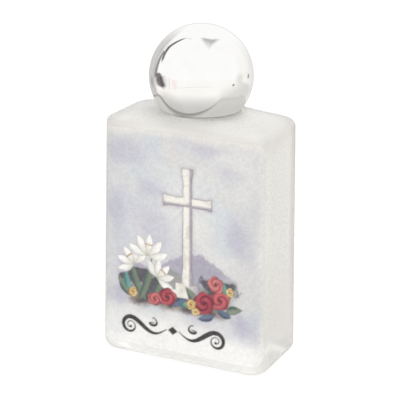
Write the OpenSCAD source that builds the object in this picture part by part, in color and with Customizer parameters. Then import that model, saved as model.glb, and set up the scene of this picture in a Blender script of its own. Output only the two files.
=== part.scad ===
// Pocket holy water bottle: a flat frosted glass flask with a printed front and a silvered
// ball cap that screws onto its neck. The printed front faces -Y and the base stands on z = 0.

/* [Bottle outside] */
// Width of the glass at its base
base_w = 32.3; // [28:0.1:40]
// Depth of the glass at its base
base_d = 17.3; // [15.5:0.1:22]
// Height of the shoulder edge above the base
body_h = 43.4; // [36:0.1:60]
// Inward lean of the two narrow sides, in degrees
side_lean = 0.9; // [0:0.1:2]
// Inward lean of the two broad faces, in degrees
face_lean = 0.5; // [0:0.1:1.5]
// Rise of the shoulder from its edge to the level land round the neck
shoulder_rise = 1.4; // [0.5:0.05:5]
// Radius of the level land round the neck
land_r = 7; // [6.2:0.1:7.6]
// Radius of the four upright corners
corner_r = 3.5; // [2.6:0.1:5]
// Radius round the base edge
base_edge_r = 2; // [0.5:0.1:2.5]
// Radius round the shoulder edge
shoulder_edge_r = 1.4; // [0.5:0.1:2.5]

/* [Bottle inside] */
// Thickness of the glass walls and shoulder
wall_t = 2; // [1.2:0.1:3]
// Thickness of the heavy glass floor
floor_t = 4.2; // [2.5:0.1:7]
// Radius of the cavity's upright corners
cavity_corner_r = 2.4; // [2:0.1:4]
// Radius round the cavity's floor and ceiling
cavity_edge_r = 1.8; // [0.5:0.1:2]
// Radius of the funnel where the cavity meets the bore
funnel_r = 4.2; // [3.6:0.1:5]
// Depth of the hollow pressed into the underside
push_up = 0.7; // [0.3:0.1:1.5]
// Run of the hollow's sloping edge
push_up_run = 1.6; // [0.4:0.1:2]
// Radius of the hollow's corners
push_up_r = 3; // [2.2:0.1:4]
// Width of the rim that the bottle stands on
foot_w = 1.8; // [1:0.1:3]

/* [Neck] */
// Diameter of the neck at the root of its thread
neck_d = 9; // [8.4:0.1:9.8]
// Diameter of the bore through the neck
bore_d = 6.4; // [5.8:0.1:7]
// Height of the neck above the land
neck_h = 7.6; // [6.5:0.1:8.4]
// Rounding of the lip
lip_r = 0.4; // [0.1:0.05:0.6]
// Fillet between the neck and the land
neck_fillet_r = 0.5; // [0.2:0.05:0.7]
// Height of the thread that stands on the neck
thread_h = 0.6; // [0.4:0.05:0.8]

/* [Printed transfer] */
// Thickness of the transfer
transfer_t = 0.1; // [0.05:0.01:0.3]
// Distance from the transfer to the narrow sides of the glass
transfer_side = 1.7; // [0.6:0.1:8]
// Distance from the transfer to the base and shoulder roundings
transfer_end = 0.8; // [0.2:0.1:8]
// Radius of the transfer's corners
transfer_corner_r = 2; // [0.5:0.1:4]

/* [Ball cap] */
// Diameter of the ball
ball_d = 18; // [17:0.1:22]
// Distance from the ball's centre down to its flat base
ball_drop = 5.6; // [4.6:0.05:5.8]
// Bevel round the edge of the flat base
ball_bevel = 0.2; // [0.05:0.05:0.4]
// Thickness of the shell over its domed hollow
dome_t = 1.4; // [0.8:0.1:2]
// Wall of the threaded insert
insert_wall = 0.9; // [0.7:0.05:1.2]
// Thickness of the insert's closed top
insert_top_t = 1; // [0.6:0.1:1.6]
// Distance from the shell's base up to the insert's lower end
insert_recess = 0.2; // [0:0.05:0.6]
// Number of grip ribs on the insert
rib_count = 24; // [8:1:36]
// Radius of each grip rib
rib_r = 0.25; // [0.15:0.01:0.35]
// Radius of the bead that holds the sealing wad up
bead_r = 0.2; // [0.1:0.01:0.25]

/* [Sealing wad] */
// Thickness of the foam wad
wad_t = 1; // [0.6:0.1:1.6]

/* [Fits] */
// Gap between the shell's base and the glass
cap_gap = 0.2; // [0.1:0.05:0.6]
// Play between the neck's thread and the insert
thread_play = 0.15; // [0.1:0.01:0.3]
// Play between the insert and the shell
insert_play = 0.1; // [0.06:0.01:0.2]
// Bite of the grip ribs into the shell
rib_bite = 0.04; // [0.02:0.01:0.08]
// Play round the wad
wad_play = 0.1; // [0.05:0.01:0.2]

/* [Hidden] */
$fn = 32;
round_fn = 96;
// Thickness of the level slices that a hull joins into a leaning wall
slice_t = 0.01;
// Overshoot of cutting shapes past the faces they cut
over = 1;

land_z = body_h + shoulder_rise;
lip_z = land_z + neck_h;
ceiling_z = lip_z + wad_t;
insert_top_z = ceiling_z + insert_top_t;
cap_base_z = land_z + cap_gap;
ball_z = cap_base_z + ball_drop;
ball_r = ball_d / 2;
insert_bore_r = neck_d / 2 + thread_h + thread_play;
insert_r = insert_bore_r + insert_wall;
pocket_r = insert_r + insert_play;
// Levels between which the walls are plain leaning planes
wall_low_z = base_edge_r;
wall_high_z = body_h - shoulder_edge_r;

// Width and depth of the glass at a height, drawn in by its lean
function width_at(z) = base_w - 2 * z * tan(side_lean);
function depth_at(z) = base_d - 2 * z * tan(face_lean);

// Puts a child at each upright corner of a rounded rectangle
module at_corners(w, d, r) {
  for (sx = [-1, 1], sy = [-1, 1])
    translate([sx * (w / 2 - r), sy * (d / 2 - r), 0]) children();
}

// Ring of a rounded edge: a tube bent round each upright corner
module edge_ring(z, inset, r, edge_r) {
  translate([0, 0, z])
    at_corners(width_at(z) - 2 * inset, depth_at(z) - 2 * inset, r)
      rotate_extrude() intersection() {
        translate([r - edge_r, 0]) circle(edge_r);
        translate([0, -edge_r]) square([r, 2 * edge_r]);
      }
}

module glass_outside() {
  hull() {
    edge_ring(wall_low_z, 0, corner_r, base_edge_r);
    edge_ring(wall_high_z, 0, corner_r, shoulder_edge_r);
    translate([0, 0, body_h]) cylinder(r = land_r, h = shoulder_rise);
  }
}

module glass_cavity() {
  hull() {
    edge_ring(floor_t + cavity_edge_r, wall_t, cavity_corner_r, cavity_edge_r);
    edge_ring(body_h - wall_t - cavity_edge_r, wall_t, cavity_corner_r, cavity_edge_r);
    translate([0, 0, body_h - wall_t]) cylinder(r = funnel_r, h = shoulder_rise);
  }
}

// Shallow hollow with sloping edges in the underside, carried past the foot that it cuts
module base_hollow() {
  inset = base_edge_r + foot_w;
  run = push_up_run / push_up;
  translate([0, 0, -over])
    hull() at_corners(base_w - 2 * inset, base_d - 2 * inset, push_up_r)
      cylinder(r1 = push_up_r + over * run, r2 = push_up_r - push_up_run, h = push_up + over);
}

// Points along an arc, from one angle to another
function arc(centre, r, from, to, steps = 6) =
  [for (i = [0:steps]) let (a = from + (to - from) * i / steps) centre + r * [cos(a), sin(a)]];

// Half section of the neck: a tube with a rounded lip and a fillet at its foot
module neck_section() {
  bore_r = bore_d / 2;
  neck_r = neck_d / 2;
  foot_r = neck_r + neck_fillet_r;
  lip_low = lip_z - lip_r;
  polygon(concat(
    [[bore_r, body_h], [foot_r, body_h]],
    arc([foot_r, land_z + neck_fillet_r], neck_fillet_r, 270, 180),
    arc([neck_r - lip_r, lip_low], lip_r, 0, 90),
    arc([bore_r + lip_r, lip_low], lip_r, 90, 180)
  ));
}

module glass_bottle() {
  color("gainsboro") difference() {
    union() {
      glass_outside();
      rotate_extrude($fn = round_fn) neck_section();
    }
    glass_cavity();
    translate([0, 0, body_h - wall_t])
      cylinder(d = bore_d, h = lip_z - body_h + wall_t + over, $fn = round_fn);
    base_hollow();
  }
}

// Solid between the wall levels, swollen by a thickness
module leaning_block(swell) {
  hull() for (z = [wall_low_z, wall_high_z - slice_t])
    translate([0, 0, z]) at_corners(width_at(z), depth_at(z), corner_r)
      cylinder(r = corner_r + swell, h = slice_t);
}

// Front window that the transfer fills, drawn as an upright plate with round corners
module transfer_window() {
  w = base_w - 2 * transfer_side;
  h = wall_high_z - wall_low_z - 2 * transfer_end;
  r = transfer_corner_r;
  translate([0, 0, wall_low_z + transfer_end + h / 2])
    rotate([90, 0, 0]) linear_extrude(base_d) {
      square([w - 2 * r, h], center = true);
      square([w, h - 2 * r], center = true);
      for (sx = [-1, 1], sy = [-1, 1])
        translate([sx * (w / 2 - r), sy * (h / 2 - r)]) circle(r);
    }
}

module printed_transfer() {
  color("lavender") intersection() {
    difference() {
      leaning_block(transfer_t);
      leaning_block(0);
    }
    transfer_window();
  }
}

module sealing_wad() {
  color("white") translate([0, 0, lip_z])
    cylinder(r = insert_bore_r - wad_play, h = wad_t, $fn = round_fn);
}

module cap_insert() {
  low_z = cap_base_z + insert_recess;
  color("whitesmoke") {
    rotate_extrude($fn = round_fn) {
      translate([insert_bore_r, low_z]) square([insert_wall, insert_top_z - low_z]);
      translate([0, ceiling_z]) square([insert_r, insert_top_t]);
      translate([insert_bore_r, lip_z - bead_r]) circle(bead_r);
    }
    for (i = [0:rib_count - 1])
      rotate(i * 360 / rib_count)
        translate([pocket_r + rib_bite - rib_r, 0, low_z]) cylinder(r = rib_r, h = ceiling_z - low_z);
  }
}

// Ball cut level at its base, with the edge of the cut bevelled
module cut_ball() {
  base_r = sqrt(ball_r * ball_r - ball_drop * ball_drop);
  intersection() {
    sphere(ball_r, $fn = round_fn);
    translate([0, 0, -ball_drop])
      cylinder(r1 = base_r - ball_bevel, r2 = base_r - ball_bevel + ball_d, h = ball_d, $fn = round_fn);
  }
}

// Hollow in the ball: a round pocket for the insert under a dome
module ball_hollow() {
  pocket_h = insert_top_z - ball_z + ball_drop + over;
  translate([0, 0, -ball_drop - over]) cylinder(r = pocket_r, h = pocket_h, $fn = round_fn);
  intersection() {
    cylinder(r = pocket_r, h = ball_r, $fn = round_fn);
    sphere(ball_r - dome_t, $fn = round_fn);
  }
}

module cap_shell() {
  color("silver") translate([0, 0, ball_z]) difference() {
    cut_ball();
    ball_hollow();
  }
}

glass_bottle();
printed_transfer();
sealing_wad();
cap_insert();
cap_shell();
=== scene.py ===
# Pocket flask for holy water: frosted glass body, watercolour transfer on its front, silvered ball cap.
import math

import bpy
import numpy as np
from mathutils import Matrix, Vector


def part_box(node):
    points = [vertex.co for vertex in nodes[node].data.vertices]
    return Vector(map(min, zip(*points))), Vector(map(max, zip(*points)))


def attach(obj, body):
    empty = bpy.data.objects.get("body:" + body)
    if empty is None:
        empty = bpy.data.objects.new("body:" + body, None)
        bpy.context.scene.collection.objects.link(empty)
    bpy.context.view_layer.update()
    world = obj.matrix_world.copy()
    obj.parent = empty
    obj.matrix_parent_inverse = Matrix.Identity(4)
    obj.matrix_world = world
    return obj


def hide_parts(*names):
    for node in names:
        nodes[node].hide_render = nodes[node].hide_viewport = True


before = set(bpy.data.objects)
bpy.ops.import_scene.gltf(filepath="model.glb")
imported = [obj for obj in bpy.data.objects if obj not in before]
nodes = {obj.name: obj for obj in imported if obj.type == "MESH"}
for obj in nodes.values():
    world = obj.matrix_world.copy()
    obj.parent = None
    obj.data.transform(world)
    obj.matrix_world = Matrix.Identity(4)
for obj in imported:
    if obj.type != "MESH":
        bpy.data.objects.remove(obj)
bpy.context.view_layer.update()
scene = bpy.context.scene
mm = 0.001
print("frame loaded:", ", ".join(sorted(nodes)))


# sRGB hex to linear light: the standard two-part curve, on each channel
def linear(hexColour):
    c = np.array([int(hexColour[i:i + 2], 16) for i in (1, 3, 5)]) / 255
    return np.where(c <= 0.04045, c / 12.92, ((c + 0.055) / 1.055) ** 2.4)


# a hex colour as a colour socket takes it
def rgba(hexColour):
    return (*linear(hexColour), 1.0)


# adds one node with its settings; an input is another node's output or a value; returns its outputs
def addNode(tree, kind, inputs=None, **settings):
    node = tree.nodes.new("ShaderNode" + kind)
    for key, value in settings.items():
        setattr(node, key, value)
    for key, value in (inputs or {}).items():
        if isinstance(value, bpy.types.NodeSocket):
            tree.links.new(value, node.inputs[key])
        else:
            node.inputs[key].default_value = value
    return node.outputs


# an empty node material and its tree
def newMaterial(name):
    material = bpy.data.materials.new(name)
    material.use_nodes = True
    material.node_tree.nodes.clear()
    return material, material.node_tree


# smooth step from 0 at a to 1 at b
def ease(x, a, b):
    t = np.clip((x - a) / (b - a), 0, 1)
    return t * t * (3 - 2 * t)


# rows of points in mm become quads, each row joined to the next; a wrapped row closes on itself, and
# poles close the end rows with fans on their mean points
def surface(name, rows, wrap=True, poles=False):
    rowCount, pointCount = rows.shape[:2]
    total = rowCount * pointCount
    ids = np.arange(total).reshape(rowCount, pointCount)
    here, after = (ids, np.roll(ids, -1, 1)) if wrap else (ids[:, :-1], ids[:, 1:])
    faces = np.stack([here[:-1], after[:-1], after[1:], here[1:]], -1).reshape(-1, 4).tolist()
    points = rows.reshape(-1, 3)
    if poles:
        points = np.concatenate([points, rows[[0, -1]].mean(1)])
        for row, pole, first, second in ((0, total, after, here), (-1, total + 1, here, after)):
            faces += np.stack([first[row], second[row], np.full(pointCount, pole)], -1).tolist()
    mesh = bpy.data.meshes.new(name)
    mesh.from_pydata((points * mm).tolist(), [], faces)
    mesh.shade_smooth()
    piece = bpy.data.objects.new(name, mesh)
    scene.collection.objects.link(piece)
    return piece


# one number for each point of a piece, which its material reads by name
def pointShare(piece, label, values):
    attribute = piece.data.attributes.new(label, "FLOAT", "POINT")
    attribute.data.foreach_set("value", np.asarray(values, np.float32).ravel())


# material, body to ride on, and the node that the piece stands for
def finishPiece(piece, material, body, replaced=None):
    piece.data.materials.clear()
    piece.data.materials.append(material)
    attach(piece, body)
    if replaced:
        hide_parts(replaced)


# camera: the photograph's three-quarter view from a little above, long lens
shot = {
    "azimuth": 25.61, "elevation": 18.30, "roll": 0.55,   # degrees
    "distance": 264.35, "aimHeight": 28.1, "aimSide": -0.03,   # mm
    "lens": 135.0, "sensor": 36.0, "clip": (0.01, 20),   # mm, and metres for the clip
}


# turned by azimuth, elevation and roll, the camera stands back from its aim along the view
azimuth, elevation, roll = (math.radians(shot[k]) for k in ("azimuth", "elevation", "roll"))
swing = Matrix.Rotation(azimuth, 4, "Z")
facing = swing @ Matrix.Rotation(math.pi / 2 - elevation, 4, "X") @ Matrix.Rotation(roll, 4, "Z")
camRight, camUp, camBack = facing.to_3x3().transposed()
aim = swing @ Vector((shot["aimSide"], 0, shot["aimHeight"]))
cameraData = bpy.data.cameras.new("studioCamera")
cameraData.lens, cameraData.sensor_width = shot["lens"], shot["sensor"]
cameraData.clip_start, cameraData.clip_end = shot["clip"]
camera = bpy.data.objects.new("studioCamera", cameraData)
camera.matrix_world = Matrix.Translation((aim + camBack * shot["distance"]) * mm) @ facing
scene.collection.objects.link(camera)
scene.camera = camera
print("camera placed")


# glass flask, in mm; the widest corners and the lip come from the frame
flask = {
    "sideLean": 0.9, "faceLean": 0.5,   # degrees inward as it rises
    "cornerRadius": 3.5, "baseEdge": 2.0, "shoulderEdge": 1.2,
    "shoulderZ": 43.05, "landZ": 44.8, "landRadius": 7.0, "landCrown": (0.15, 0.02),   # inward and up
    "wall": 2.0, "floor": 4.2, "cavityCorner": 2.4, "cavityEdge": 1.8, "cavityTopZ": 41.3,
    "floorRings": (0.6, 0.25), "floorCorner": 0.3,   # shares of the floor that its rings are drawn in to
    "funnelZ": 42.8, "funnelRadius": 4.2, "throatRadius": 0.5, "throatEnd": 250,   # degrees
    "pushUp": 0.7, "pushUpRun": 1.6, "pushUpCorner": 2.6, "footWidth": 1.8,
    "neckRadius": 4.5, "boreRadius": 3.2, "neckFillet": 0.5, "lipRadius": 0.4,
    "plainEnd": 1.0, "boreEnd": 0.6,   # where the plain lengths of neck and bore stop short of a curve
    "rows": {"hollow": 7, "footEdge": 9, "wall": 14, "fillet": 7, "neck": 4, "lip": 7, "bore": 4,
             "throat": 5, "cavity": 10, "cavityEdge": 8},
}
glassHigh = np.array(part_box("glass_bottle")[1]) / mm
lean = np.tan(np.radians([flask["sideLean"], flask["faceLean"]]))
halfAtFloor = glassHigh[:2] + flask["baseEdge"] * lean
lipZ = glassHigh[2]


# half width and half depth of the leaning walls at height z, drawn in by an inset
def wallHalf(z, inset=0.0):
    return halfAtFloor - z * lean - inset


# unit outline of a rounded rectangle, counterclockwise from the front end of its right side: each point is
# a place on the inner rectangle and the angle of its normal
def unitOutline(longSteps=26, shortSteps=14, cornerSteps=12):
    corner = (np.arange(cornerSteps) + 0.5) / cornerSteps * np.pi / 2
    short = np.linspace(-1, 1, shortSteps)
    long = np.linspace(1, -1, longSteps)
    sides = ((np.ones(shortSteps), short, 0.0), (long, np.ones(longSteps), np.pi / 2),
             (-np.ones(shortSteps), -short, np.pi), (-long, -np.ones(longSteps), 1.5 * np.pi))
    corners = ((1, 1), (-1, 1), (-1, -1), (1, -1))
    across, along, turn = [], [], []
    for (sx, sy, angle), (cx, cy) in zip(sides, corners):
        across += [sx, np.full(cornerSteps, cx)]
        along += [sy, np.full(cornerSteps, cy)]
        turn += [np.full(len(sx), angle), angle + corner]
    return np.concatenate(across), np.concatenate(along), np.concatenate(turn)


unitX, unitY, unitTurn = unitOutline()


# outline loop: inner rectangle point plus radius times the unit normal
def outline(half, radius):
    return np.stack([(half[0] - radius) * unitX + radius * np.cos(unitTurn),
                     (half[1] - radius) * unitY + radius * np.sin(unitTurn)], -1)


# angle of each outline point on a circle, by its share of the way round the wall's outline
def circleTurn():
    loop = outline(wallHalf(flask["shoulderZ"]), flask["cornerRadius"])
    step = np.linalg.norm(np.diff(loop, axis=0, append=loop[:1]), axis=1)
    share = np.concatenate([[0], np.cumsum(step)[:-1]])
    quarter = step.sum() / 4
    half = wallHalf(flask["shoulderZ"]) - flask["cornerRadius"]
    return (share - half[1]) / quarter * np.pi / 2


ringTurn = circleTurn()


# circle loop: radius times the cosine and sine of the ring angles
def circle(radius):
    return radius * np.stack([np.cos(ringTurn), np.sin(ringTurn)], -1)


# a flat loop set at one height
def level(loop, z):
    return np.concatenate([loop, np.broadcast_to(z, len(loop))[:, None]], 1)


# straight lines from a wall loop at cornerZ to a circle at topZ, with the corner at the wall rounded by
# a quadratic curve that starts and ends a given length from it
def shoulderRows(wallLoop, circleLoop, cornerZ, topZ, roundLength, steps=9, lineSteps=7):
    low, corner = level(wallLoop, cornerZ - roundLength), level(wallLoop, cornerZ)
    top = level(circleLoop, topZ)
    span = top - corner
    along = corner + span * (roundLength / np.linalg.norm(span, axis=1))[:, None]
    t = np.linspace(0, 1, steps)[:, None, None]
    bend = (1 - t) ** 2 * low + 2 * t * (1 - t) * corner + t ** 2 * along
    t = np.linspace(0, 1, lineSteps)[1:, None, None]
    return np.concatenate([bend, along + t * (top - along)])


# profile of (radius, z) pairs carried round a ring of angles
def turnedRows(profile, turn):
    r, z = np.hsplit(np.array(profile), 2)
    return np.stack([r * np.cos(turn), r * np.sin(turn), z + 0 * turn], -1)


# arc of (radius, z) pairs: the centre plus the radius times cosine and sine between two angles
def arcPoints(centre, radius, startDeg, endDeg, steps):
    a = np.radians(np.linspace(startDeg, endDeg, steps))
    return np.stack([centre[0] + radius * np.cos(a), centre[1] + radius * np.sin(a)], -1)


# loop of the leaning wall at height z, or of the cavity's, drawn in by an inset, its corners too
def ring(z, inset, corner, wall=0.0):
    return level(outline(wallHalf(z, wall + inset), corner - inset), z)


# one closed skin, up the outside and down the inside: hollow base (an S curve), foot edge (a quarter
# circle), walls, shoulder, neck, lip, bore, cavity with such an edge too, floor
def flaskRows():
    f, n = flask, flask["rows"]
    edge, corner, pushIn = f["baseEdge"], f["cornerRadius"], f["baseEdge"] + f["footWidth"] + f["pushUpRun"]
    rows = []
    for t in np.linspace(0, 1, n["hollow"]):
        loop = outline(wallHalf(0, pushIn - f["pushUpRun"] * t), f["pushUpCorner"])
        rows.append(level(loop, f["pushUp"] * (1 - ease(t, 0, 1))))
    turns = np.radians(np.linspace(0, 90, n["footEdge"]))
    rows += [ring(edge * (1 - math.cos(t)), edge * (1 - math.sin(t)), corner) for t in turns]
    top = f["shoulderZ"] - f["shoulderEdge"]
    rows += [ring(z, 0, corner) for z in np.linspace(edge, top, n["wall"])[1:-1]]
    edgeStart = len(rows)
    wallTop = outline(wallHalf(top), corner)
    skin = [np.stack(rows),
            shoulderRows(wallTop, circle(f["landRadius"]), f["shoulderZ"], f["landZ"], f["shoulderEdge"])]
    fillet, lip, throat = f["neckFillet"], f["lipRadius"], f["throatRadius"]
    neck, bore, end = f["neckRadius"], f["boreRadius"], f["plainEnd"]
    crownIn, crownUp = f["landCrown"]
    skin.append(turnedRows(np.concatenate([
        [[f["landRadius"] - crownIn, f["landZ"] + crownUp]],
        arcPoints((neck + fillet, f["landZ"] + fillet), fillet, 270, 180, n["fillet"]),
        [[neck, z] for z in np.linspace(f["landZ"] + end, lipZ - end, n["neck"])],
        arcPoints((neck - lip, lipZ - lip), lip, 0, 90, n["lip"]),
        arcPoints((bore + lip, lipZ - lip), lip, 90, 180, n["lip"]),
        [[bore, z] for z in np.linspace(lipZ - end, f["funnelZ"] + f["boreEnd"], n["bore"])],
        arcPoints((bore + throat, f["funnelZ"] + throat), throat, 180, f["throatEnd"], n["throat"]),
    ]), ringTurn))
    outside = sum(len(part) for part in skin) - n["bore"] - n["throat"] - 1   # the lip's last row is inside
    wall, edge, corner = f["wall"], f["cavityEdge"], f["cavityCorner"]
    top, low = f["cavityTopZ"] - edge, f["floor"] + edge
    inWall = outline(wallHalf(top, wall), corner)
    skin.append(shoulderRows(inWall, circle(f["funnelRadius"]), f["cavityTopZ"], f["funnelZ"], edge)[::-1])
    rows = [ring(z, 0, corner, wall) for z in np.linspace(top, low, n["cavity"])[1:-1]]
    turns = np.radians(np.linspace(0, 90, n["cavityEdge"]))
    rows += [ring(low - edge * math.sin(t), edge * (1 - math.cos(t)), corner, wall) for t in turns]
    for share in f["floorRings"]:
        half = wallHalf(f["floor"], wall + edge) * share
        rows.append(level(outline(half, f["floorCorner"]), f["floor"]))
    skin.append(np.stack(rows))
    return np.concatenate(skin), outside, edgeStart


# where shade and light are painted on the flask's glass, in mm from its middle and its base
glassShading = {
    "edgeRows": (-1, 0, 5, 9, 12), "edgeShade": (0, 0.9, 1, 0.5, 0),   # by rows up the shoulder
    "rearX": (12.4, 15.2), "rearY": (3.0, 4.0), "rearZ": (8, 16),   # rear corners
    "sideX": (13.4, 15.4), "lowZ": (10, 26), "lowShade": 0.34,   # low on the narrow sides
    "footZ": (2.0, 6.0),
}


# shares of inside skin, painted shade (shoulder edge, rear corners, low on the narrow sides) and painted
# light at the whiter foot, each a product of steps along x, y, z or the rows
def flaskShares(rows, outsideCount, edgeStart):
    x, y, z = np.abs(rows[..., 0]), rows[..., 1], rows[..., 2]
    row = np.arange(len(rows))[:, None]
    outer = row < outsideCount
    # painted shade: darker glass along the shoulder's edge rows, at the rear corners and low on the narrow
    # sides
    edge = np.interp(row - edgeStart, glassShading["edgeRows"], glassShading["edgeShade"])
    rear = ease(y, *glassShading["rearY"]) * ease(x, *glassShading["rearX"]) * ease(z, *glassShading["rearZ"])
    side = ease(x, *glassShading["sideX"])
    lowSide = glassShading["lowShade"] * side * (1 - ease(z, *glassShading["lowZ"]))
    # painted light: the foot is made whiter, as if lit through the thick glass base
    foot = np.interp(z, glassShading["footZ"], (1, 0)) * (1 - side)
    paintedShade = np.maximum(edge, np.maximum(rear, lowSide) * outer)
    return {"inside": ~outer, "paintedShade": paintedShade, "foot": foot * outer}


skinRows, outsideRows, edgeRow = flaskRows()
flaskPiece = surface("flask_glass", skinRows, poles=True)
for label, share in flaskShares(skinRows, outsideRows, edgeRow).items():
    values = np.broadcast_to(share, skinRows.shape[:2])
    pointShare(flaskPiece, label, np.concatenate([values.ravel(), values[[0, -1], 0]]))   # poles last
print("flask:", len(flaskPiece.data.polygons), "faces")


# screw threads, in mm: a rounded rib along a helix that fades out at both ends
threads = {
    "pitch": 2.0, "stepsPerTurn": 72, "fadeTurns": 0.2, "ribPoints": 11, "crest": 0.7,
    "root": 0.15, "rootShare": 0.8, "endShare": 0.35,   # depth in the wall, width there and at the ends
    "neck": {"startZ": 46.7, "turns": 2.15, "rise": 0.6, "halfWidth": 0.46, "sign": 1, "startTurn": 0.0},
    "insert": {"startZ": 45.9, "turns": 2.7, "rise": 0.55, "halfWidth": 0.4, "sign": -1, "startTurn": 0.10},
    "insertRadius": 5.25,
}


# rows run along the helix, each a closed loop: a half-cosine rib out from the radius, or inward with
# sign -1, and a short root in the wall
def helixRows(radius, startZ, turns, rise, halfWidth, sign, startTurn):
    h = threads
    t = np.linspace(0, 1, int(turns * h["stepsPerTurn"]))[:, None]
    turn = (startTurn + t * turns) * 2 * np.pi
    fade = ease(t * turns, 0, h["fadeTurns"]) * ease((1 - t) * turns, 0, h["fadeTurns"])
    a = np.linspace(-1, 1, h["ribPoints"])[None]
    lift = np.cos(a * np.pi / 2) ** h["crest"] * rise
    side = -a * halfWidth * sign
    rootSide = h["rootShare"] * halfWidth * sign
    lift = np.concatenate([lift, np.full((1, 2), -h["root"])], 1)
    side = np.concatenate([side, [[-rootSide, rootSide]]], 1)
    r = radius + sign * np.where(lift > 0, lift * fade, lift)
    z = startZ + h["pitch"] * t * turns + side * (h["endShare"] + (1 - h["endShare"]) * fade)
    return np.stack([r * np.cos(turn), r * np.sin(turn), z], -1)


neckRows = helixRows(flask["neckRadius"], **threads["neck"])
insertRows = helixRows(threads["insertRadius"], **threads["insert"])
neckThread = surface("neck_thread", neckRows, poles=True)
insertThread = surface("insert_thread", insertRows, poles=True)
print("threads made")


# ball cap, in mm: centre and size from the frame
ball = {
    "baseBevel": 0.2, "pocketRadius": 6.25, "pocketTopZ": 54.4, "pocketBevel": 0.15, "pocketRow": 1.0,
    "domeThickness": 1.4, "columns": 160, "rows": 96, "domeRows": 16, "sharpAngle": 40,
}
ballLow, ballHigh = (np.array(c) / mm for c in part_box("cap_shell"))
ballRadius = (ballHigh[0] - ballLow[0]) / 2
ballCentreZ = ballHigh[2] - ballRadius


# profile turned about the axis: the dome's arc, the pocket's wall, the flat foot, then the ball's arc up
# to its top; the inside comes first, so that faces point outward
def ballRows():
    footZ, bevel, centre = ballLow[2], ball["baseBevel"], (0, ballCentreZ)
    start = math.degrees(math.asin((footZ + bevel - ballCentreZ) / ballRadius))
    outer = arcPoints(centre, ballRadius, start, 90, ball["rows"])[:-1]
    inside = ballRadius - ball["domeThickness"]
    domeStart = math.degrees(math.asin((ball["pocketTopZ"] - ballCentreZ) / inside))
    dome = arcPoints(centre, inside, 90, domeStart, ball["domeRows"])[1:]
    pocket, edge = ball["pocketRadius"], ball["pocketBevel"]
    skirt = [[pocket, ball["pocketTopZ"]], [pocket, footZ + ball["pocketRow"]], [pocket, footZ + edge],
             [pocket + edge, footZ], [outer[0, 0] - bevel, footZ]]
    turn = np.linspace(0, 2 * np.pi, ball["columns"], endpoint=False)
    return turnedRows(np.concatenate([dome, skirt, outer]), turn)


ballPiece = surface("cap_ball", ballRows(), poles=True)
ballPiece.data.set_sharp_from_angle(angle=math.radians(ball["sharpAngle"]))
print("ball cap:", len(ballPiece.data.polygons), "faces")


# printed transfer, in mm, on the front wall and round its front corners
film = {
    "side": 0.4, "end": 2.1, "topZ": 42.1, "corner": 2.0, "lift": 0.001, "thickness": 0.004,
    "columns": 184, "rows": 246, "normalWeight": 100,
}


# s runs along the wall's outline from the middle of the front and z up; past the flat part a point goes
# round the corner arc, and the sheet narrows at its ends, so that its own corners are round
def filmSheet():
    f = film
    z = np.linspace(f["end"], f["topZ"], f["rows"])[:, None]
    radius = flask["cornerRadius"]
    half = halfAtFloor - z * lean
    flat = half[:, :1] - radius
    reach = half[:, :1] - f["side"] - flat
    limit = flat + radius * np.arcsin(np.clip(reach / radius, 0, 1))
    fromEnd = np.minimum(z - f["end"], f["topZ"] - z)
    cut = np.clip(f["corner"] - fromEnd, 0, None)
    limit = limit - (f["corner"] - np.sqrt(f["corner"] ** 2 - cut ** 2))
    s = np.linspace(-1, 1, f["columns"])[None] * limit
    past = np.clip(np.abs(s) - flat, 0, None) / radius
    out = radius + f["lift"]
    x = np.sign(s) * (np.minimum(np.abs(s), flat) + out * np.sin(past))
    y = -(half[:, 1:] - radius) - out * np.cos(past)
    zs = np.broadcast_to(z, s.shape)
    return np.stack([x, y, zs], -1), s, zs, limit - np.abs(s), np.minimum(limit - np.abs(s), fromEnd)


filmRows, printS, printZ, fromSide, fromRim = filmSheet()
fromTop = film["topZ"] - printZ


# ground of the print: bare flux, and random fields, each a cell in mm, a seed and a number of octaves
ground = {
    "flux": "#F7F7F6", "pictureLift": 1.9, "seed": 11, "lattice": 64, "shift": (40, 3),
    "grain": (0.5, 1, 2), "wobble": (1.2, 2, 3), "drift": (5.0, 10, 2), "speckle": (0.34, 12, 1),
    "speckleDepth": 0.12,
}


# smooth random field: lattice values joined by smooth steps, with finer and weaker copies added, each
# from a seed of its own
def cloud(cell, seed, octaves=4):
    total, weight = 0, 0
    size = ground["lattice"]
    for k in range(octaves):
        table = np.random.default_rng(ground["seed"] * 100 + seed * 10 + k).random((size, size))
        p, q = ((way + start) / cell * 2 ** k for way, start in zip((printS, printZ), ground["shift"]))
        i, j = np.floor(p).astype(int), np.floor(q).astype(int)
        u, v = ease(p - i, 0, 1), ease(q - j, 0, 1)
        a, b = table[i % size, j % size], table[(i + 1) % size, j % size]
        c, d = table[i % size, (j + 1) % size], table[(i + 1) % size, (j + 1) % size]
        total = total + (a * (1 - u) * (1 - v) + b * u * (1 - v) + c * (1 - u) * v + d * u * v) / 2 ** k
        weight += 1 / 2 ** k
    return total / weight


pictureZ = printZ - ground["pictureLift"]
ink = np.ones(printS.shape + (1,)) * linear(ground["flux"])
grain = cloud(*ground["grain"])
wobble = cloud(*ground["wobble"]) - 0.5
drift = cloud(*ground["drift"]) - 0.5


# one layer of paint over the rest: a mask at a strength, broken a little by the print's grain
def paint(mask, strength, hexColour, grainDepth=0.25):
    global ink
    m = np.clip(mask * strength * (1 + grainDepth * (grain - 0.5)), 0, 1)[..., None]
    ink = ink * (1 - m) + linear(hexColour) * m


# paint where a random field lies in a range
def mottle(mask, field, shown, layer):
    paint(mask * ease(cloud(*field), *shown), *layer)


# mask from a signed distance in mm, negative inside, with a soft edge
def fill(distance, soft):
    return 1 - ease(distance, -soft, soft)


# mask of a line along the edge of a signed distance
def rim(distance, half, soft):
    return fill(np.abs(distance) - half, soft)


# smooth step whose place wanders with the drift
def wander(distance, far, start, end):
    return ease(distance + far * drift, start, end)


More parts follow.
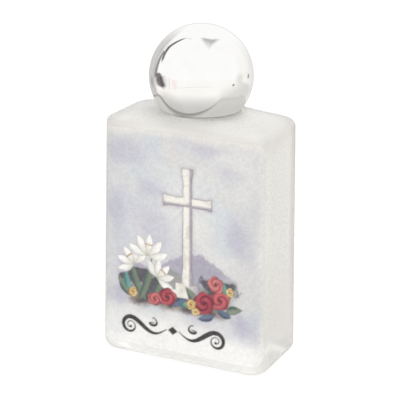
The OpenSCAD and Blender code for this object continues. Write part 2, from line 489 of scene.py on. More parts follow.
# signed distance to an oval, in shares of its half width and half height
def oval(z, s0, z0, wide, high):
    return np.hypot((printS - s0) / wide, (z - z0) / high) - 1


# print coordinates turned by an angle about a point
def turned(s0, z0, degrees):
    a = math.radians(degrees)
    p, q = printS - s0, pictureZ - z0
    return p * math.cos(a) + q * math.sin(a), q * math.cos(a) - p * math.sin(a)


# petal or leaf: half width follows a sine along its length, its middle line bows to one side
def leafDistance(s0, z0, degrees, length, width, bow, tip=0.8, blunt=0.85):
    u, v = turned(s0, z0, degrees)
    t = np.clip(u / length, 0, 1)
    half = width / 2 * np.sin(np.pi * t ** tip) ** blunt
    middle = bow * 4 * t * (1 - t)
    return np.maximum(np.abs(v - middle) - half, np.maximum(-u, u - length)), t, v - middle


# distance to a curve given by points, and the share along it of the nearest point
def strokeDistance(curve):
    d = np.hypot(printS[..., None] - curve[:, 0], printZ[..., None] - curve[:, 1])
    return d.min(-1), d.argmin(-1) / (len(curve) - 1)


# pale wash behind the picture, in mm: an edge is how far it wanders, its start and its end; a layer of
# paint, here and below, is a strength, a colour and a grain
wash = {
    "sideTone": (1, "#EAE9E5", 0), "sideZ": (2.0, 11.0), "topTone": (1, "#EAE8E4", 0), "rimFade": (0, 3.0),
    "base": (0.92, "#D9D9DA", 0.10), "sideWander": 1.5, "reach": (2.1, 1.6),   # right and left
    "low": (5.0, 5.0, 11.0), "top": (1.2, -0.3, 1.5), "tintEdge": (2.0, -14.0, -11.0),
    "cornerWay": (0.7, 0.9, 36), "corner": (4.0, 4.5, 10.0),   # slopes and height, edge
    "cornerPale": 0.25, "cornerTint": 0.8,
    "tints": (   # field, its range that shows, layer
        ((9.0, 3, 2), (0.42, 0.78), (0.75, "#C9CAD8", 0.12)),
        ((8.0, 5, 2), (0.52, 0.82), (0.60, "#E9E9E7", 0.1)),
        ((7.0, 13, 2), (0.50, 0.80), (0.60, "#D0D8E1", 0.1))),
    "blots": (   # place, half width, half height, strength
        (-10.6, 37.6, 4.2, 1.8, 0.45), (-12.6, 27.0, 2.2, 4.2, 0.55), (-4.6, 31.5, 2.6, 1.7, 0.50),
        (9.4, 36.4, 3.6, 1.6, 0.40), (11.6, 24.6, 2.4, 3.6, 0.55), (-12.0, 11.2, 2.2, 1.6, 0.48),
        (12.2, 9.6, 1.7, 2.2, 0.75), (4.6, 40.2, 3.4, 1.2, 0.40), (-12.4, 5.2, 2.4, 2.4, 0.20)),
    "blot": ("#BBBACD", 0.15), "blotFade": (-0.55, 0.85), "blotRim": (1, 0, 2.2), "blotRagged": (1.4, 0.5),
    "glow": (1, "#F2F1EC", 0.1), "glowZ": 28.0, "glowSpread": (30, 55),
    "rays": (16, 0.40, 0.30),   # count, plain and rayed strength
}


# smooth steps from the sides, base and top, multiplied and thinner at the upper right; tints follow
# random fields, blots are ragged ovals, the glow behind the cross is a bell curve with cosine rays
def paintWash():
    w = wash
    paint((1 - ease(fromSide, *w["rimFade"])) * ease(printZ, *w["sideZ"]), *w["sideTone"])
    paint(1 - ease(fromTop, *w["rimFade"]), *w["topTone"])
    reach = np.where(printS > 0, *w["reach"])
    fade = wander(fromSide, w["sideWander"], 0, reach) * wander(printZ, *w["low"])
    across, rise, cornerZ = w["cornerWay"]
    corner = wander(across * printS + rise * (printZ - cornerZ), *w["corner"])
    fade = fade * wander(fromTop, *w["top"]) * (1 - w["cornerPale"] * corner)
    tint = fade * wander(printS, *w["tintEdge"]) * (1 - w["cornerTint"] * corner)
    paint(fade, *w["base"])
    for part in w["tints"]:
        mottle(tint, *part)
    broad, fine = w["blotRagged"]
    for *place, strength in w["blots"]:
        blot = oval(printZ, *place) + broad * drift + fine * wobble
        paint(ease(-blot, *w["blotFade"]) * wander(fromRim, *w["blotRim"]), strength, *w["blot"])
    (crossS, crossZ), (wide, high) = cross["middle"], w["glowSpread"]
    glow = np.exp(-((printS - crossS) ** 2 / wide + (pictureZ - w["glowZ"]) ** 2 / high))
    count, plain, rayed = w["rays"]
    rays = 0.5 + 0.5 * np.cos(np.arctan2(pictureZ - crossZ, printS - crossS) * count)
    paint(fade * glow * (plain + rayed * rays), *w["glow"])


# far hills, in mm, inside an oval where they fade out
hills = {
    "place": (-0.2, 16, 1.02, 0.75), "radius": 10.4,   # middle, stretch across and up
    "ragged": 2.4, "soft": 1.6,
    "ridges": (   # height, wave height, waves, phase, raggedness, soft edge, haze, layer
        (17.4, 1.9, 0.33, 0.6, 1.6, 0.35, (8.0, 16.5), (0.80, "#ABA6B8")),
        (14.6, 1.4, 0.42, 2.7, 1.4, 0.30, (7.5, 11.5), (0.75, "#9CA29A"))),
    "woods": ((2.2, 6), (0.45, 0.7), (0.7, "#757F73")), "woodHaze": (8.5, 12.0),   # as the tints
}


# each ridge is a sine with a ragged edge over haze, and woods spot the nearer one
def paintHills():
    h = hills
    s0, z0, wide, tall = h["place"]
    reach = np.hypot((printS - s0) / wide, (pictureZ - z0) * tall) - h["radius"] + h["ragged"] * wobble
    for height, swell, waves, phase, ragged, soft, haze, layer in h["ridges"]:
        ridge = height + swell * np.sin(printS * waves + phase) + ragged * wobble
        slope = fill(reach, h["soft"]) * fill(pictureZ - ridge, soft)
        paint(slope * ease(pictureZ, *haze), *layer)
    mottle(slope * ease(pictureZ, *h["woodHaze"]), *h["woods"])


# bank under the cross, in mm, with dark shrubs behind the flowers
bank = {
    "shrubs": ((-8.6, 13.2, 2.6, 2.0), (7.6, 13.6, 3.0, 1.9), (-4.6, 11.6, 2.4, 1.6)),   # ovals
    "shrub": (0.85, "#6C6571"), "shrubRagged": 1.5, "shrubSoft": 0.22,
    "twig": (0.6, "#4F5157"), "twigField": (0.9, 9), "twigDepth": 0.35, "twigSoft": 0.15,
    "grass": (0.92, "#8C8278"), "crown": (0.5, 11.4), "fall": 0.022, "ragged": 1.2, "soft": 0.25,
    "lowZ": (7.6, 9.2), "middle": -0.2, "half": 9.8, "endRagged": 2, "endSoft": 1.0,
    "earth": ((1.6, 7), (0.42, 0.66), (0.85, "#5B535C")),
}


# shrubs are ragged ovals; the bank's top is a parabola, and its ends and foot fade
def paintBank():
    b = bank
    for place in b["shrubs"]:
        blot = oval(pictureZ, *place) + b["shrubRagged"] * wobble
        paint(fill(blot, b["shrubSoft"]), *b["shrub"])
        twigs = blot + b["twigDepth"] * (cloud(*b["twigField"]) - b["twigDepth"])
        paint(fill(twigs, b["twigSoft"]), *b["twig"])
    crownS, crownZ = b["crown"]
    top = crownZ - b["fall"] * (printS - crownS) ** 2 + b["ragged"] * wobble
    ends = fill(np.abs(printS - b["middle"]) - b["half"] + b["endRagged"] * wobble, b["endSoft"])
    mask = fill(pictureZ - top, b["soft"]) * ease(pictureZ + b["ragged"] * wobble, *b["lowZ"]) * ends
    paint(mask, *b["grass"])
    mottle(mask, *b["earth"])


# signed distance to a rectangle: the greater of the two overshoots
def box(across, along, wide, high):
    return np.maximum(np.abs(across) - wide, np.abs(along) - high)


# stone cross, in mm from its crossing; a flare is its drop, its reach and the share where it starts
cross = {
    "middle": (1.6, 28.4), "tilt": 0.6, "upHalf": 0.85, "upDrop": 4.6, "upReach": 10.6, "armHalf": 0.82,
    "armReach": 4.6, "flare": 0.22, "upFlare": (4, 10, 0.75), "armFlare": (0, 4.6, 0.7),
    "steps": ((2.3, 15.6), (3.3, 16.9)), "stepHalf": 0.75,   # half width and drop, half height
    "ragged": 0.16, "soft": 0.12,
    "halo": (0.4, "#ADA7B8"), "haloWidth": 0.3, "haloSoft": 0.6, "stone": (0.98, "#F6F4EE"),
    "mottle": ((1.1, 8), (0.45, 0.7), (0.45, "#CFC7BA")),
    "shade": (0.78, "#978E9D"), "barShade": (0.10, 0.65), "footShade": (-0.5, 2.5),
    "edge": (0.7, "#5F5660"), "line": 0.05,
}


# two bars with slightly flared ends on a stepped foot, joined by the least distance, lit from the left
def paintCross():
    c = cross
    u, v = turned(*c["middle"], c["tilt"])

    # half width of a bar: it grows by a smooth step towards its ends
    def bar(half, along, drop, reach, start):
        return half + c["flare"] * ease(np.abs(along + drop) / reach, start, 1.0)

    soft = c["soft"]
    upright = box(u, v + c["upDrop"], bar(c["upHalf"], v, *c["upFlare"]), c["upReach"])
    arms = box(u, v, c["armReach"], bar(c["armHalf"], u, *c["armFlare"]))
    foot = np.minimum(*(box(u, v + drop, half, c["stepHalf"]) for half, drop in c["steps"]))
    d = np.minimum(np.minimum(upright, arms), foot) + c["ragged"] * wobble
    paint(fill(d - c["haloWidth"], c["haloSoft"]), *c["halo"])
    paint(fill(d, soft), *c["stone"])
    mottle(fill(d, soft), *c["mottle"])
    sides = ((upright, u, "barShade"), (arms, -v, "barShade"), (foot, u, "footShade"))
    shades = [fill(distance, soft) * ease(way, *c[edge]) for distance, way, edge in sides]
    paint(np.max(shades, 0), *c["shade"])
    paint(rim(d, c["line"], soft), *c["edge"])


# a flat tone, shaded to one side of the leaf's middle line, with a darker edge
def paintLeaf(s0, z0, degrees, length, width, bow, hexColour, shade):
    leaf = {"ragged": 0.25, "soft": 0.14, "body": 0.92, "shade": 0.7, "shadeEdge": (-0.1, 0.35),
            "edge": 0.45, "line": (0.05, 0.12)}
    d, _, v = leafDistance(s0, z0, degrees, length, width, bow)
    d = d + leaf["ragged"] * wobble
    body = fill(d, leaf["soft"])
    start, end = leaf["shadeEdge"]
    paint(body, leaf["body"], hexColour)
    paint(body * ease(v, start, end * width), leaf["shade"], shade)
    paint(rim(d, *leaf["line"]), leaf["edge"], shade)


# five petals fanned about the lily's lean, the outer ones first, tinted at the root and on one side, and
# three anthers in a row; widths and places are shares of a petal's length
def paintLily(s0, z0, size, lean0):
    petal = {"order": (-2, 2, -1, 1, 0), "fan": 36, "width": 0.40, "bow": 0.05, "tip": 1.25, "ragged": 0.12,
             "soft": 0.12, "body": (0.97, "#FEFDF9"), "root": (0.65, "#CBCDB8"), "rootFrom": 0.35,
             "shade": (0.55, "#BBB5C6"), "shadeTo": 0.2, "edge": (0.55, "#837A88"), "line": (0.04, 0.11)}
    anther = {"along": 0.5, "apart": 0.12, "radius": 0.17, "dot": (1, "#B08A4E")}   # radius in mm
    for k in petal["order"]:
        d, t, v = leafDistance(s0, z0, lean0 + k * petal["fan"], size, size * petal["width"],
                               petal["bow"] * size * k, petal["tip"])
        d = d + petal["ragged"] * wobble
        body = fill(d, petal["soft"])
        paint(body, *petal["body"])
        paint(body * ease(1 - t, petal["rootFrom"], 1.0), *petal["root"])
        paint(body * ease(v, 0.0, size * petal["shadeTo"]), *petal["shade"])
        paint(rim(d, *petal["line"]), *petal["edge"])
    u, v = turned(s0, z0, lean0)
    for k in (-1, 0, 1):
        dot = np.hypot(u - size * anther["along"], v - k * size * anther["apart"]) - anther["radius"]
        paint(fill(dot, petal["soft"]), *anther["dot"])


# a disc with a wavy edge, petals as a spiral of sine bands, shaded below and dark in the heart
def paintRose(s0, z0, radius, turn0, light, dark):
    rose = {"squash": 1.12, "wave": 0.07, "petals": 5, "ragged": 0.12, "soft": 0.13, "body": 0.97,
            "winding": (2.0, 11, 0.8),   # arms, turns and power of the spiral
            "bandEdge": (0.45, 0.95), "band": 0.75, "low": 0.1, "shade": 0.5, "heartEdge": (0.24, 0.2),
            "heart": (0.7, "#5C2433"), "line": (0.05, 0.12), "edge": (0.5, "#5C2433")}
    u, v = turned(s0, z0, turn0)
    r, a = np.hypot(u, v * rose["squash"]) / radius, np.arctan2(v, u)
    edge = r - 1 - rose["wave"] * np.sin(rose["petals"] * a + turn0) + rose["ragged"] * wobble
    body = fill(edge * radius, rose["soft"])
    arms, turns, power = rose["winding"]
    swirl = 0.5 + 0.5 * np.sin(arms * a + turns * r ** power)
    heart, heartSoft = rose["heartEdge"]
    paint(body, rose["body"], light)
    paint(body * ease(swirl, *rose["bandEdge"]), rose["band"], dark)
    paint(body * ease(-v, rose["low"] * radius, radius), rose["shade"], dark)
    paint(body * fill((r - heart) * radius, heartSoft), *rose["heart"])
    paint(rim(edge * radius, *rose["line"]), *rose["edge"])


# flowers on the bank, in mm and degrees, in the order they are painted
flowers = {
    "leaves": (   # colour and shade, then for each leaf its place, angle, length, width and bow
        ("#7F907A", "#4B5A62", (
            (-6.4, 9.2, 112, 7.2, 1.5, 0.5), (-7.6, 9, 74, 8.6, 1.4, -0.4), (-4.9, 9.4, 60, 6, 1.4, 0.4),
            (-9, 9.4, 128, 4.6, 1.5, 0.3), (5.6, 10, 38, 4.4, 1.7, 0.3), (3.4, 9.8, 122, 3.8, 1.5, -0.3),
            (8.6, 10.4, 64, 4, 1.6, 0.3), (9.2, 9.6, 18, 3.2, 1.5, 0.2))),
        ("#74AFA6", "#3F716E", (
            (2.2, 9.3, 150, 3, 1.3, 0.2), (3.6, 9.4, 70, 3.6, 1.3, 0.2), (9.4, 12.4, 110, 3.4, 1.3, 0.2),
            (-9.6, 10.6, 100, 3.6, 1.3, 0.2))),
        ("#677792", "#404A63", (
            (-2.6, 9.2, 150, 3.4, 1.3, 0.2), (-1.2, 9, 30, 3.4, 1.3, 0.2), (6.9, 8.6, 200, 3.2, 1.3, 0.2),
            (10.2, 8.9, 160, 2.8, 1.3, 0.2)))),
    "lilies": ((-8.6, 15.6, 3.6, 128), (-6, 17.6, 4, 84), (-4.1, 13.8, 3.4, 46)),   # place, size, lean
    "roses": (   # place, radius, turn, light and dark colour
        (8, 11.6, 1.9, 20, "#CF6C70", "#8E3B4E"), (5, 10.6, 2.1, 75, "#B9505F", "#74293D"),
        (7.2, 14.4, 1.55, 130, "#D98A86", "#A04A58"), (-2.1, 10.5, 1.75, 200, "#C25A64", "#7E3044"),
        (-4.6, 9.7, 1.3, 15, "#D9817E", "#974150"), (2.5, 9.9, 1, 40, "#E6CE94", "#B9904E"),
        (3.4, 8.7, 0.8, 160, "#EAD6A2", "#C09A5A"), (-8.9, 10.3, 0.95, 250, "#E6CE94", "#B9904E"),
        (9.9, 13.4, 0.85, 90, "#E9D39C", "#BC9553")),
}


# leaves, then lilies and roses over them
def paintFlowers():
    for colour, shade, group in flowers["leaves"]:
        for leaf in group:
            paintLeaf(*leaf, colour, shade)
    for lily in flowers["lilies"]:
        paintLily(*lily)
    for rose in flowers["roses"]:
        paintRose(*rose)


# pen flourish, in mm: two mirrored sine waves that end in a spiral, each with a small curl, strokes that
# swell in the middle, and a lozenge between them
def paintFlourish():
    pen = {"middle": (-1.0, 6.2), "ink": (0.96, "#2E292C", 0.1), "soft": 0.11, "thin": 0.10, "swell": 0.36,
           "press": (1.25, 1.5), "points": 80, "start": 1.25, "wave": 7.2, "height": 1.15, "bends": 1.5,
           "curl": 1.6, "turns": 1.55, "tighten": 0.82, "tip": 0.26, "lozenge": (0.8, 0.78),
           "sprig": (3.7, 0.30), "sprigWide": 1.0, "sprigTall": 0.45, "sprigRise": 1.1, "sprigTurn": 0.75,
           "sprigTighten": 0.7, "sprigSwell": 0.15}
    mid, high = pen["middle"]
    t = np.linspace(0, 1, pen["points"])
    spin = 2 * np.pi * pen["turns"] * t
    sprigSpin = pen["sprigTurn"] * spin
    sprigS, sprigZ = pen["sprig"]
    squeeze, half = pen["lozenge"]
    marks = [np.abs(printS - mid) * squeeze + np.abs(printZ - high) - half]
    wave = np.stack([pen["start"] + pen["wave"] * t, -pen["height"] * np.sin(pen["bends"] * np.pi * t)], -1)
    coil = (pen["curl"] * (1 - pen["tighten"] * t))[:, None]
    curl = wave[-1] - [0, pen["curl"]] + coil * np.stack([np.sin(spin), np.cos(spin)], -1)
    sprig = np.stack([sprigS + pen["sprigWide"] * np.sin(sprigSpin) * (1 - pen["sprigTighten"] * t),
                      sprigZ + pen["sprigRise"] * t + pen["sprigTall"] * np.cos(sprigSpin)], -1)
    reach, power = pen["press"]
    for side in (-1, 1):
        for path, swell in ((np.concatenate([wave, curl[1:]]), pen["swell"]), (sprig, pen["sprigSwell"])):
            d, share = strokeDistance(path * [side, 1] + [mid, high])
            marks.append(d - pen["thin"] - swell * np.sin(np.pi * np.clip(share * reach, 0, 1)) ** power)
        tipS, tipZ = curl[-1] * [side, 1] + [mid, high]
        marks.append(np.hypot(printS - tipS, printZ - tipZ) - pen["tip"])
    for mark in marks:
        paint(fill(mark, pen["soft"]), *pen["ink"])


# watercolour scene, from the back to the front
for layer in (paintWash, paintHills, paintBank, paintCross, paintFlowers, paintFlourish):
    layer()
speckle = 1 + ground["speckleDepth"] * (cloud(*ground["speckle"]) - 0.5)
ink = np.clip(ink * speckle[..., None], 0, 1)
filmPiece = surface("print_film", filmRows, wrap=False)
pigment = filmPiece.data.attributes.new("pigment", "FLOAT_COLOR", "POINT")
pigment.data.foreach_set("color", np.concatenate(
    [ink, np.ones(printS.shape + (1,))], -1).astype(np.float32).ravel())
thicken = filmPiece.modifiers.new("filmThickness", "SOLIDIFY")
thicken.thickness, thicken.offset = film["thickness"] * mm, 1.0
flatten = filmPiece.modifiers.new("evenNormals", "WEIGHTED_NORMAL")   # so the rim doesn't tilt the shading
flatten.weight = film["normalWeight"]
print("print film:", len(filmPiece.data.polygons), "faces")


# one of a piece's point shares
def pointValue(tree, label):
    return addNode(tree, "Attribute", attribute_name=label)["Fac"]


# noise with features of a size in mm and a detail, in the piece's own coordinates
def noise(tree, size, detail):
    place = addNode(tree, "TexCoord")["Object"]
    return addNode(tree, "TexNoise", {"Vector": place, "Scale": 1 / (size * mm), "Detail": detail})["Fac"]


# a value taken to the range low to high from the range start to end
def spread(tree, value, low, high, start=0.0, end=1.0, way="LINEAR"):
    inputs = {"Value": value, "From Min": start, "From Max": end, "To Min": low, "To Max": high}
    return addNode(tree, "MapRange", inputs, interpolation_type=way)["Result"]


# a colour, or what a node gives, mixed with a second colour by a share
def blend(tree, share, first, second):
    first = rgba(first) if isinstance(first, str) else first
    return addNode(tree, "Mix", {"Factor": share, 6: first, 7: rgba(second)}, data_type="RGBA")[2]


# principled surface with a fine relief of a strength and a depth in mm, joined to the output
def coat(tree, body, colour, roughness, height, strength, depth):
    bump = addNode(tree, "Bump", {"Strength": strength, "Distance": depth * mm, "Height": height})
    look = {"Base Color": colour, "Roughness": roughness, "Normal": bump["Normal"]}
    shader = addNode(tree, "BsdfPrincipled", {**body, **look})
    addNode(tree, "OutputMaterial", {"Surface": shader["BSDF"]})


# acid-frosted soda-lime glass: the etched outside scatters what comes through, so the wall reads milky and
# soft, greyer where shade is painted and whiter where light is painted at the foot; the moulded inside is
# left smooth
def frostedGlass():
    glass = {"milk": "#F9F8F5", "grain": "#EBEAE5", "paintedShade": "#E7E5E1", "foot": "#F8F9F8",
             "etch": (0.40, 2.0), "pits": (0.42, 0.70), "relief": (0.35, 0.04),
             "frosted": (0.18, 0.26), "smooth": 0.06, "body": {"IOR": 1.5, "Transmission Weight": 0.50}}
    material, tree = newMaterial("acid_frosted_glass")
    etch = noise(tree, *glass["etch"])
    colour = blend(tree, spread(tree, etch, 0, 1, *glass["pits"]), glass["milk"], glass["grain"])
    # painted shade, then painted light at the foot, mixed into the glass colour
    for share in ("paintedShade", "foot"):
        colour = blend(tree, pointValue(tree, share), colour, glass[share])
    inner, frosted = pointValue(tree, "inside"), spread(tree, etch, *glass["frosted"])
    rough = addNode(tree, "Mix", {"Factor": inner, 2: frosted, 3: glass["smooth"]}, data_type="FLOAT")[0]
    coat(tree, glass["body"], colour, rough, etch, *glass["relief"])
    return material


# fired watercolour transfer: pigment in a thin glass flux, as matt and as clear to light as the frost
# round it, so the wash has no edge
def transferInk():
    flux = {"tooth": (0.35, 2.0), "roughness": (0.20, 0.26), "relief": (0.2, 0.03),
            "body": {"IOR": 1.5, "Transmission Weight": 0.46}}
    material, tree = newMaterial("fired_transfer_ink")
    colour = addNode(tree, "Attribute", attribute_name="pigment")["Color"]
    tooth = noise(tree, *flux["tooth"])
    coat(tree, flux["body"], colour, spread(tree, tooth, *flux["roughness"]), tooth, *flux["relief"])
    return material


# vacuum-silvered plastic: a mirror film over a lacquered moulding, with faint swells and handling haze
def silveredPlastic():
    silver = {"bright": "#FFFFFF", "dull": "#F8F7F5", "haze": (2.6, 4.0), "hazeShown": (0.35, 0.75),
              "roughness": (0.02, 0.06), "swell": (5.0, 0.0), "relief": (0.5, 0.02),
              "body": {"Metallic": 1.0}}
    material, tree = newMaterial("vacuum_silvered_plastic")
    haze = noise(tree, *silver["haze"])
    swell = noise(tree, *silver["swell"])
    colour = blend(tree, haze, silver["bright"], silver["dull"])
    rough = spread(tree, haze, *silver["roughness"], *silver["hazeShown"])
    coat(tree, silver["body"], colour, rough, swell, *silver["relief"])
    return material


# moulded polypropylene and pressed foam: pale, matt, with a fine skin that differs only in size
def paleMoulding(name, light, dark, pores, roughness, relief):
    material, tree = newMaterial(name)
    skin = noise(tree, *pores)
    colour = blend(tree, skin, light, dark)
    coat(tree, {"IOR": 1.49}, colour, spread(tree, skin, *roughness), skin, *relief)
    return material


insertSkin = {"light": "#ECEBE6", "dark": "#DDDBD4", "pores": (0.8, 3.0), "roughness": (0.34, 0.48),
              "relief": (0.4, 0.01)}
wadSkin = {"light": "#EFECE2", "dark": "#CFCABD", "pores": (0.3, 3.0), "roughness": (0.75, 0.92),
           "relief": (0.4, 0.05)}
glassMaterial = frostedGlass()
insertMaterial = paleMoulding("moulded_polypropylene", **insertSkin)
wadMaterial = paleMoulding("pressed_foam", **wadSkin)
finishPiece(flaskPiece, glassMaterial, "bottle", "glass_bottle")
finishPiece(neckThread, glassMaterial, "bottle")
finishPiece(filmPiece, transferInk(), "bottle", "printed_transfer")
finishPiece(ballPiece, silveredPlastic(), "cap", "cap_shell")
finishPiece(insertThread, insertMaterial, "cap")
for nodeName, material in (("cap_insert", insertMaterial), ("sealing_wad", wadMaterial)):
    nodes[nodeName].data.materials.clear()
    nodes[nodeName].data.materials.append(material)
print("materials on")


# studio, in metres: pale floor, white surround, soft lamps
studio = {
    "white": "#FFFFFF", "worldFront": 1.20, "worldBack": 0.72,   # brightness before and behind the flask
    "floorColour": "#FAF7F3", "floorSize": 6.0, "floorSteps": 9, "floorWhite": 0.85, "tableGlow": 0.25,
    "mirrorTint": "#FFFDFA", "mirrorReach": (0.018, 0.105), "mirrorShadowGlow": (0.60, 1.0),   # near and far
    "aim": (0, 0, 0.03),
    "lamps": (   # name, place, width and height, watts
        ("topLamp", (0.15, 0.0, 0.75), (0.55, 0.55), 3.0),
        ("frontLamp", (-0.05, -0.85, 0.13), (0.80, 0.24), 2.0)),
}


# surround that lights the object more from the front than from behind, and shows as plain white to camera,
# mirror and transmitted rays
def makeWorld():
    world = bpy.data.worlds.new("whiteSurround")
    world.use_nodes = True
    tree = world.node_tree
    tree.nodes.clear()
    white = rgba(studio["white"])
    heading = addNode(tree, "SeparateXYZ", {0: addNode(tree, "TexCoord")["Generated"]})
    glow = spread(tree, heading["Y"], studio["worldFront"], studio["worldBack"], -1.0, 1.0)
    lit = addNode(tree, "Background", {"Color": white, "Strength": glow})
    shown = addNode(tree, "Background", {"Color": white, "Strength": 1.0})
    path = addNode(tree, "LightPath")
    seen = addNode(tree, "Math", {0: path["Is Camera Ray"], 1: path["Is Glossy Ray"]}, operation="MAXIMUM")
    seen = addNode(tree, "Math", {0: seen[0], 1: path["Is Transmission Ray"]}, operation="MAXIMUM")
    mix = addNode(tree, "MixShader", {0: seen[0], 1: lit[0], 2: shown[0]})
    addNode(tree, "OutputWorld", {"Surface": mix[0]})
    scene.world = world


# level grid of paper: mostly white to the camera, so that only a soft shadow shows, and in the mirror cap a
# painted shadow: a glow that is darker near the flask and brighter with its distance from it
def makeFloor():
    half = studio["floorSize"] / 2 / mm
    side = np.linspace(-half, half, studio["floorSteps"])
    x, y = np.meshgrid(side, side)
    floor = surface("studioFloor", np.stack([x, y, np.zeros_like(x)], -1), wrap=False)
    material, tree = newMaterial("paper_sweep")
    colour = rgba(studio["floorColour"])
    paper = addNode(tree, "BsdfDiffuse", {"Color": colour})
    table = addNode(tree, "Emission", {"Color": colour, "Strength": studio["tableGlow"]})
    lit = addNode(tree, "AddShader", {0: paper[0], 1: table[0]})
    white = addNode(tree, "Emission", {"Color": rgba(studio["white"]), "Strength": 1.0})
    path = addNode(tree, "LightPath")
    share = addNode(tree, "Math", {0: path["Is Camera Ray"], 1: studio["floorWhite"],
                                   2: path["Is Transmission Ray"]}, operation="MULTIPLY_ADD")
    shown = addNode(tree, "MixShader", {0: share[0], 1: lit[0], 2: white[0]})
    # painted shadow in the mirror cap: the floor's glow rises with distance from the flask
    place = addNode(tree, "TexCoord")["Object"]
    away = addNode(tree, "VectorMath", {0: place}, operation="LENGTH")["Value"]
    rise = spread(tree, away, *studio["mirrorShadowGlow"], *studio["mirrorReach"], "SMOOTHSTEP")
    shadowedMirror = addNode(tree, "Emission", {"Color": rgba(studio["mirrorTint"]), "Strength": rise})
    mirror = addNode(tree, "Math", {0: path["Is Glossy Ray"], 1: path["Is Transmission Ray"]},
                     operation="SUBTRACT", use_clamp=True)
    mix = addNode(tree, "MixShader", {0: mirror[0], 1: shown[0], 2: shadowedMirror[0]})
    addNode(tree, "OutputMaterial", {"Surface": mix[0]})
    floor.data.materials.append(material)


# broad soft lamps turned to the aim
def makeLamps():
    aim = Vector(studio["aim"])
    for name, place, size, watts in studio["lamps"]:
        data = bpy.data.lights.new(name, "AREA")
        data.shape = "RECTANGLE"
        data.size, data.size_y, data.energy = *size, watts
        lamp = bpy.data.objects.new(name, data)
        lamp.location = place
        lamp.rotation_euler = (aim - Vector(place)).to_track_quat("-Z", "Y").to_euler()
        lamp.visible_glossy = False   # the mirror shows the plain surround, not lamp frames
        scene.collection.objects.link(lamp)


# grey cards that glow, seen only as reflections in the ball: painted reflections. A card is a patch of the
# ball's disc in the photograph: angles in degrees with the inner and outer radius there, colour, strength,
# softness of its inner, outer and end edges
cards = {
    "shell": 0.6, "floorGap": 0.002, "layerStep": 0.01,   # metres, and the growth from card to card
    "steps": (41, 65), "seed": 5, "speckle": 0.35,
    "patches": (
        ("rimCard", ((-30, 0.955, 0.9995), (330, 0.955, 0.9995)), "#C4C3C1", 0.75, (0.9, 0.1, 0.1)),
        ("rightCard", ((-55, 0.78, 0.999), (55, 0.8, 0.999)), "#DCDBD6", 0.75, (0.9, 0.2, 0.6)),
        ("leftCard", ((100, 0.94, 0.999), (116, 0.84, 0.999), (130, 0.8, 0.999), (145, 0.8, 0.999),
                      (180, 0.84, 0.999), (205, 0.85, 0.999), (225, 0.88, 0.999), (245, 0.95, 0.999)),
         "#AEACAA", 1, (0.45, 0.7, 0.6)),
        ("leftRimCard", ((105, 0.88, 0.999), (180, 0.9, 0.999), (235, 0.92, 0.999)),
         "#C8C6C4", 1, (0.7, 0.1, 0.6)),
        ("seamCard", ((108, 0.715, 0.725), (123, 0.728, 0.772), (138, 0.758, 0.822), (148, 0.758, 0.822),
                      (156, 0.752, 0.806), (164, 0.765, 0.78)), "#2A2628", 1, (0.2, 0.35, 0.35)),
        ("lowSeamCard", ((143, 0.8, 0.84), (158, 0.795, 0.875), (170, 0.805, 0.905), (181, 0.83, 0.915)),
         "#544C4E", 1, (0.4, 0.5, 0.2)),
        ("darkCard", ((173, 0.8, 0.87), (177, 0.735, 0.89), (184, 0.7, 0.9), (190, 0.69, 0.88),
                      (198, 0.68, 0.77)), "#3A2C34", 1, (0.3, 0.4, 0.3)),
        ("streakCard", ((174, 0.925, 0.945), (181, 0.912, 0.968), (188, 0.93, 0.95)),
         "#3E3238", 1, (0.3, 0.3, 0.3)),
        ("lineCard", ((184, 0.588, 0.604), (206, 0.643, 0.659)), "#A89EA0", 0.8, (0.5, 0.5, 0.3)),
        ("blushCard", ((188, 0.45, 0.62), (214, 0.48, 0.62)), "#EFD9D6", 0.6, (0.6, 0.6, 0.6)),
        ("topCard", ((60, 0.72, 0.76), (66, 0.58, 0.735), (73, 0.4, 0.702), (81, 0.47, 0.685),
                     (94, 0.63, 0.685)), "#8E8D8D", 0.95, (1, 0.22, 0.6)),
        ("glintCard", ((104, 0.655, 0.675), (112, 0.7, 0.725)), "#B4B3B3", 0.8, (0.4, 0.4, 0.6)),
        ("horizonCard", ((199, 0.752, 0.784), (210, 0.49, 0.51), (225, 0.346, 0.361), (240, 0.283, 0.294),
                         (255, 0.253, 0.264), (270, 0.245, 0.255), (285, 0.253, 0.264), (300, 0.283, 0.294),
                         (312, 0.33, 0.343)), "#9FA0AE", 0.6, (0.5, 0.5, 0.4)),
        ("lowRightCard", ((-56, 0.46, 0.8), (-44, 0.42, 0.82), (-32, 0.42, 0.9), (-19, 0.52, 0.97),
                          (-4, 0.66, 0.97)), "#D4D3CF", 1, (0.7, 0.1, 0.3)),
        ("lowLeftCard", ((194, 0.64, 0.95), (207, 0.58, 0.95), (218, 0.54, 0.95), (236, 0.58, 0.88),
                         (252, 0.66, 0.86)), "#C2C0BC", 0.95, (0.9, 0.1, 0.6)),
        ("creamCard", ((-10, 0.62, 0.93), (40, 0.62, 0.93)), "#F3F1E0", 0.7, (0.8, 0.8, 0.8)),
        ("smudgeCard", ((-16, 0.6, 0.8), (8, 0.64, 0.86)), "#8E8E8D", 1, (0.9, 0.9, 0.9)),
        ("speckCard", ((-0.8, 0.858, 0.892), (5.6, 0.872, 0.908)), "#1A1819", 1, (0.25, 0.25, 0.25)),
        ("lowSpeckCard", ((-20, 0.604, 0.638), (-15.6, 0.616, 0.658)), "#242223", 1, (0.25, 0.25, 0.25)),
        ("darkTailCard", ((178, 0.66, 0.8), (188, 0.61, 0.8), (201, 0.63, 0.78)),
         "#9A9195", 0.8, (0.8, 0.2, 0.35)),
    ),
}


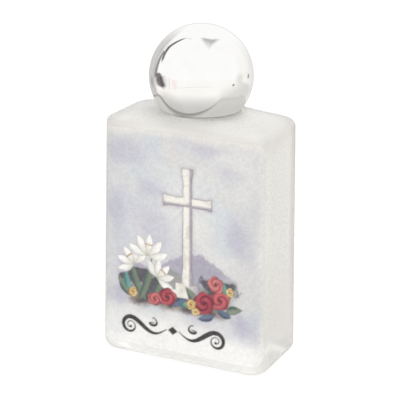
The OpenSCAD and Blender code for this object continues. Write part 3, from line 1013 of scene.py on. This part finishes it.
# a place on the disc gives the ball's normal, and the mirror direction is twice its share toward the
# camera times the normal, less the way to the camera; the point lies along that from the ball's middle,
# on a far shell or the floor, whichever is nearer, and higher layers lie behind
def mirrorPoints(radius, turn, layer):
    side, up = radius * np.cos(turn), radius * np.sin(turn)
    toward = np.sqrt(np.clip(1 - radius ** 2, 0, 1))
    axes = np.array([camRight, camUp, camBack])
    heading = np.stack([2 * toward * side, 2 * toward * up, 2 * toward ** 2 - 1], -1) @ axes
    centre = np.array([0, 0, ballCentreZ * mm])
    drop = (centre[2] - cards["floorGap"] / layer) / np.maximum(-heading[..., 2], 1e-6)   # never zero
    return (centre + heading * np.minimum(drop, cards["shell"] * layer)[..., None]) / mm


# a card glows with its colour times a tone, through a mask, as a painted reflection: only mirror rays meet
# it
def addCard(name, rows, wrap, hexColour, mask, tone, oneSided=False):
    card = surface(name, rows, wrap=wrap)
    for label, values in (("mask", mask), ("tone", tone)):
        pointShare(card, label, np.broadcast_to(values, rows.shape[:2]))
    material, tree = newMaterial(name + "PaintedReflection")
    shown = pointValue(tree, "mask")
    if oneSided:   # clear from behind
        behind = addNode(tree, "NewGeometry")["Backfacing"]
        shown = addNode(tree, "Math", {0: shown, 1: behind}, operation="SUBTRACT", use_clamp=True)[0]
    clear = addNode(tree, "BsdfTransparent")
    paper = addNode(tree, "Emission", {"Color": rgba(hexColour), "Strength": pointValue(tree, "tone")})
    mix = addNode(tree, "MixShader", {0: shown, 1: clear[0], 2: paper[0]})
    addNode(tree, "OutputMaterial", {"Surface": mix[0]})
    card.data.materials.append(material)
    card.visible_camera = card.visible_diffuse = card.visible_transmission = card.visible_shadow = False


# each patch is a grid: v runs along its angles and u from its inner to its outer radius
def makeCards():
    u, v = np.meshgrid(*(np.linspace(0, 1, n) for n in cards["steps"]))
    draw = np.random.default_rng(cards["seed"])
    for k, (name, curve, hexColour, strength, soft) in enumerate(cards["patches"]):
        angles, inner, outer = np.array(curve, float).T
        angle = angles[0] + (angles[-1] - angles[0]) * v
        low, high = np.interp(angle, angles, inner), np.interp(angle, angles, outer)
        edge = ease(u, 0, soft[0]) * ease(1 - u, 0, soft[1]) * ease(np.minimum(v, 1 - v), 0, soft[2] / 2)
        speckle = 1 - cards["speckle"] * draw.random(u.shape)
        rows = mirrorPoints(low + (high - low) * u, np.radians(angle), 1 + cards["layerStep"] * k)
        addCard(name, rows, False, hexColour, np.clip(edge, 0, 1) * strength * speckle, 1.0)


# painted reflection of the shoulder in shade, as the cap shows it, in mm; tones at the left and right of
# its edge and at the neck
shoulderShadeReflection = {
    "lift": 0.12, "colour": "#D6D4CF", "leftTone": 0.50, "rightTone": 0.94, "across": (3, 12),
    "edgeRun": (2.5, 4.4), "footTone": 0.90, "footRows": (0.62, 0.92),   # share of the rows
}


# the flask's shoulder lifted a little, with a last row at the neck, seen only in the cap as painted shade;
# its tone grows up the slope and drops a little at the neck
def makeShoulderShadeReflection():
    f, c = flask, shoulderShadeReflection
    shoulder = shoulderRows(outline(wallHalf(f["shoulderZ"]), f["cornerRadius"]), circle(f["landRadius"]),
                            f["shoulderZ"], f["landZ"], f["shoulderEdge"])
    neckRing = turnedRows([[f["neckRadius"], f["landZ"]]], ringTurn)
    shoulder = np.concatenate([shoulder, neckRing]) + [0, 0, c["lift"]]
    row = np.arange(len(shoulder))[:, None] / (len(shoulder) - 1)
    edge = c["leftTone"] + (c["rightTone"] - c["leftTone"]) * ease(shoulder[..., 0], *c["across"])
    run = np.cumsum(np.linalg.norm(np.diff(shoulder, axis=0, prepend=shoulder[:1]), axis=-1), axis=0)
    tone = edge + (1 - edge) * ease(run, *c["edgeRun"])
    tone = tone * (1 - (1 - c["footTone"]) * ease(row, *c["footRows"]))
    addCard("shoulderShadeReflectionCard", shoulder, True, c["colour"], 1.0, tone, oneSided=True)


makeWorld()
makeFloor()
makeLamps()
makeCards()
makeShoulderShadeReflection()
scene.view_settings.view_transform = "Standard"
print("studio set")
